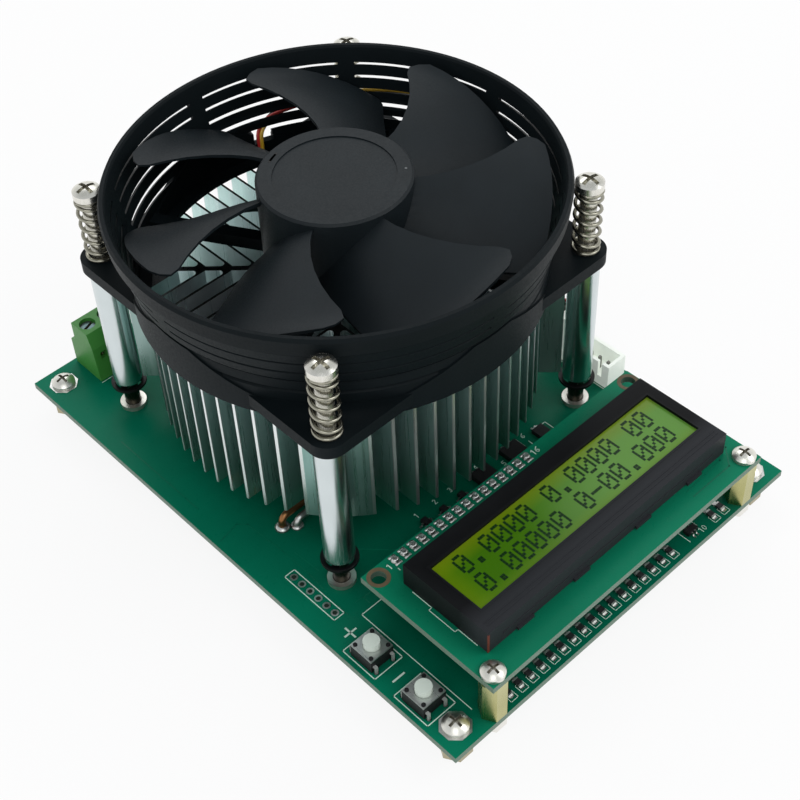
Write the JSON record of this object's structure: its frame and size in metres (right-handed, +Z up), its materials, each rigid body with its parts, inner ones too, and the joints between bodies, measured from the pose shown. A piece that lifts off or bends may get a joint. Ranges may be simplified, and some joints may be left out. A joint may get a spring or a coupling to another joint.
{
  "type": "dc electronic load",
  "caption": "Open-board DC electronic load: fan and finned heat sink on spring-loaded posts, character display, setting buttons, screw terminal and a pin header on a green circuit board.",
  "frame": {"origin": "on the floor, under the middle of the main board", "axes": "+Z up, -Y is the display side, +X to the right seen from the display side"},
  "size_m": [0.1, 0.14, 0.0733],
  "materials": {
    "board_green": "glossy solder mask over glass fibre",
    "display_green": "glossy solder mask over glass fibre",
    "brass": "machined",
    "nickel": "nickel plated",
    "chrome": "polished",
    "aluminium": "extruded",
    "pad_grey": "matt",
    "chip_black": "moulded epoxy",
    "tin": "tinned",
    "copper": "enamelled copper",
    "fan_black": "satin moulding",
    "steel": "plain",
    "spring_steel": "plated wire",
    "magnet": "matt",
    "nylon": "moulded",
    "clip_black": "blackened",
    "bezel_black": "satin black",
    "display_glass": "polarised yellow-green",
    "backlight": "clear moulding",
    "contact_rubber": "matt",
    "ivory": "moulded",
    "terminal_green": "moulded",
    "white_plastic": "moulded",
    "wire_red": "insulated wire"
  },
  "bodies": {
    "load_board": {"main_board": "board_green", "board_feet": "brass", "foot_screws": "nickel", "heat_sink": "aluminium", "thermal_pad": "pad_grey", "power_transistor": "chip_black", "transistor_leads": "tin", "shunt_wire": "copper", "link_wire": "tin", "fan_shroud": "fan_black", "fan_bearing": "brass", "stator_core": "steel", "stator_coils": "copper", "fan_driver_board": "board_green", "cooler_posts": "chrome", "cooler_screws": "chrome", "cooler_springs": "spring_steel", "cooler_clips": "clip_black", "cooler_washers": "tin", "cooler_nuts": "nickel", "display_board": "display_green", "display_bezel": "bezel_black", "display_glass": "display_glass", "display_backlight": "backlight", "contact_strips": "contact_rubber", "header_strip": "chip_black", "header_pins": "tin", "display_socket": "chip_black", "display_standoffs": "brass", "display_screws": "nickel", "display_nuts": "nickel", "switch_bases": "chip_black", "switch_plates": "nickel", "switch_leads": "tin", "increase_dome": "steel", "decrease_dome": "steel", "terminal_housing": "terminal_green", "terminal_contacts": "brass", "aux_header": "white_plastic", "aux_header_pins": "tin", "fan_header": "white_plastic", "fan_header_pins": "tin", "fan_plug": "white_plastic", "fan_lead": "wire_red", "chip_resistors": "chip_black", "small_chips": "chip_black", "chip_leads": "tin", "controller_chip": "chip_black", "controller_leads": "tin"},
    "rotor": {"fan_impeller": "fan_black", "rotor_yoke": "steel", "rotor_magnet": "magnet", "rotor_shaft": "steel", "shaft_clip": "nylon"},
    "increase_key": {"increase_button": "ivory"},
    "decrease_key": {"decrease_button": "ivory"},
    "screw_1": {"terminal_screw_1": "nickel"},
    "screw_2": {"terminal_screw_2": "nickel"},
    "clamp_1": {"wire_clamp_1": "nickel"},
    "clamp_2": {"wire_clamp_2": "nickel"}
  },
  "joints": [
    {"name": "fan_spin", "type": "hinge", "parent": "load_board", "child": "rotor", "pos_m": [-0.0009, 0.012, 0.06], "axis": [0, 0, 1], "continuous": true},
    {"name": "increase_press", "type": "slide", "parent": "load_board", "child": "increase_key", "axis": [0, 0, -1], "range_m": [0, 0.00025], "stiffness_N_per_m": 400, "springref_m": -0.002, "deforming": ["increase_dome"]},
    {"name": "decrease_press", "type": "slide", "parent": "load_board", "child": "decrease_key", "axis": [0, 0, -1], "range_m": [0, 0.00025], "stiffness_N_per_m": 400, "springref_m": -0.002, "deforming": ["decrease_dome"]},
    {"name": "screw_1_turn", "type": "hinge", "parent": "load_board", "child": "screw_1", "pos_m": [-0.0358, 0.0642, 0.018], "axis": [0, 0, -1], "range_deg": [0, 1800]},
    {"name": "clamp_1_rise", "type": "slide", "parent": "load_board", "child": "clamp_1", "axis": [0, 0, 1], "range_m": [0, 0.0025]},
    {"name": "screw_2_turn", "type": "hinge", "parent": "load_board", "child": "screw_2", "pos_m": [-0.03072, 0.0642, 0.018], "axis": [0, 0, -1], "range_deg": [0, 1800]},
    {"name": "clamp_2_rise", "type": "slide", "parent": "load_board", "child": "clamp_2", "axis": [0, 0, 1], "range_m": [0, 0.0025]}
  ],
  "couplings": [
    {"joint": "screw_1_turn", "follows": "clamp_1_rise", "rad_per_m": 12566},
    {"joint": "screw_2_turn", "follows": "clamp_2_rise", "rad_per_m": 12566}
  ]
}
